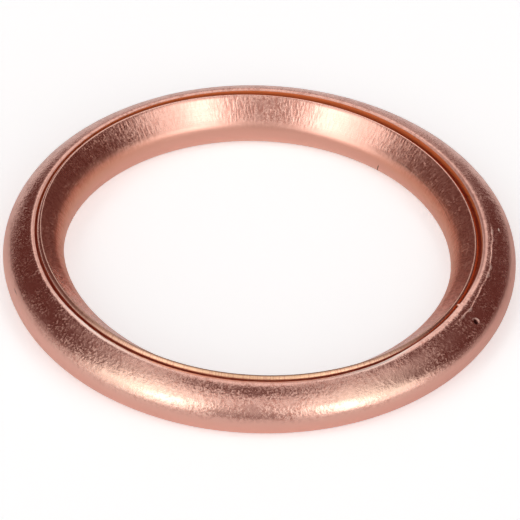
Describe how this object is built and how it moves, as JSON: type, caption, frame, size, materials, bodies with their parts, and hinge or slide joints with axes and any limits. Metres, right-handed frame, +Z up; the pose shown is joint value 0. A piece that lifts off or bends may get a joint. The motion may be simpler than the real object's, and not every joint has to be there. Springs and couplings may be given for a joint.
{
  "type": "copper crush washer",
  "caption": "Hollow sealing ring rolled from one thin copper sheet, open along a slot between its two lips, that flattens when it is clamped round a spigot or plug.",
  "frame": {"origin": "on the bore's axis, in the plane of the flat underside that the washer rests on", "axes": "+Z up along the bore's axis, towards the open slot; the slot is widest towards +X, turned 18 degrees to +Y"},
  "size_m": [0.0399, 0.0399, 0.0044],
  "materials": {
    "copper": "rolled soft copper, satin, fine grain and draw marks"
  },
  "bodies": {
    "root": {"washer_ring": "copper"}
  },
  "joints": []
}
